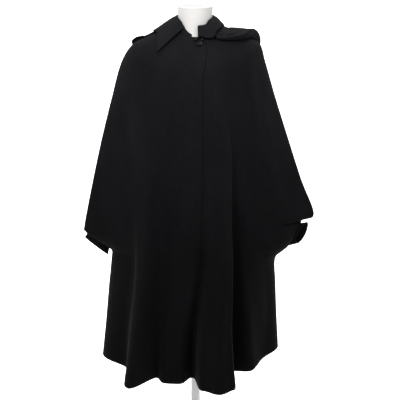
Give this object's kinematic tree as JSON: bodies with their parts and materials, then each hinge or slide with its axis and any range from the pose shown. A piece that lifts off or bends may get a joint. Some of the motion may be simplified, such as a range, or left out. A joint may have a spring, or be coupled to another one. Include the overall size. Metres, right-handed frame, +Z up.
{
  "type": "hooded_cape_on_dress_form",
  "caption": "Heavy black wool cape with closed, cuffed side wings, pointed collar, laid-back hood and a hidden front, standing on a white limbless dress form.",
  "frame": {"origin": "centre of the base's underside", "axes": "+Z up, front -Y, wearer's right -X"},
  "size_m": [0.702, 0.4978, 1.3584],
  "materials": {
    "wool": "matte",
    "button": "polished",
    "form": "satin",
    "stand": "satin"
  },
  "bodies": {
    "root": {"front_right": "wool", "front_left": "wool", "back": "wool", "cuff_right": "wool", "cuff_left": "wool", "collar_stand": "wool", "collar_fall": "wool", "hood": "wool", "button": "button", "form_body": "form", "pole": "stand", "base": "stand"}
  },
  "joints": []
}
